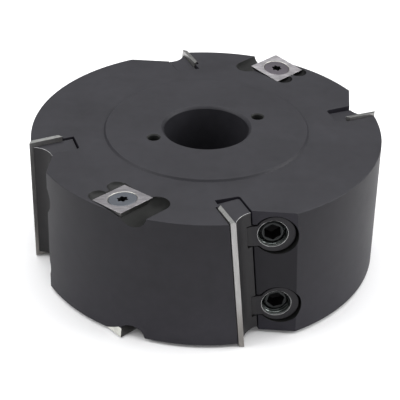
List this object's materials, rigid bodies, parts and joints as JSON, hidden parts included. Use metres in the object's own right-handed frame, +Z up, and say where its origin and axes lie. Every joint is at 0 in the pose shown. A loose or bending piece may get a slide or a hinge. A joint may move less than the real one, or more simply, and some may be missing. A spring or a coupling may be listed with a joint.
{
  "type": "rebate cutter",
  "caption": "Cylindrical rebate cutter head with a through bore, wedge-clamped straight knives at a shear angle and square screwed spurs standing out of both faces.",
  "frame": {"origin": "on the axis of the bore, in the plane that the cutter stands on, which its lowest knife corners touch", "axes": "+Z up along the axis of the bore; -Y points at the viewer of the picture, whose front knife is just right of the middle; the cutter turns counter-clockwise seen from +Z"},
  "size_m": [0.1236, 0.1236, 0.0506],
  "materials": {
    "body_steel": "black oxide, satin, finely mottled",
    "wedge_steel": "black oxide, ground",
    "set_screw_steel": "black oxide, bright worn threads",
    "knife_carbide": "ground",
    "spur_carbide": "ground, fine scratches",
    "spur_screw_steel": "blued"
  },
  "bodies": {
    "root": {"cutter_body": "body_steel", "knife_1": "knife_carbide", "wedge_1": "wedge_steel", "wedge_screw_1a": "set_screw_steel", "wedge_screw_1b": "set_screw_steel", "knife_2": "knife_carbide", "wedge_2": "wedge_steel", "wedge_screw_2a": "set_screw_steel", "wedge_screw_2b": "set_screw_steel", "knife_3": "knife_carbide", "wedge_3": "wedge_steel", "wedge_screw_3a": "set_screw_steel", "wedge_screw_3b": "set_screw_steel", "knife_4": "knife_carbide", "wedge_4": "wedge_steel", "wedge_screw_4a": "set_screw_steel", "wedge_screw_4b": "set_screw_steel", "spur_top_1": "spur_carbide", "spur_screw_top_1": "spur_screw_steel", "spur_top_2": "spur_carbide", "spur_screw_top_2": "spur_screw_steel", "spur_bottom_1": "spur_carbide", "spur_screw_bottom_1": "spur_screw_steel", "spur_bottom_2": "spur_carbide", "spur_screw_bottom_2": "spur_screw_steel"}
  },
  "joints": []
}
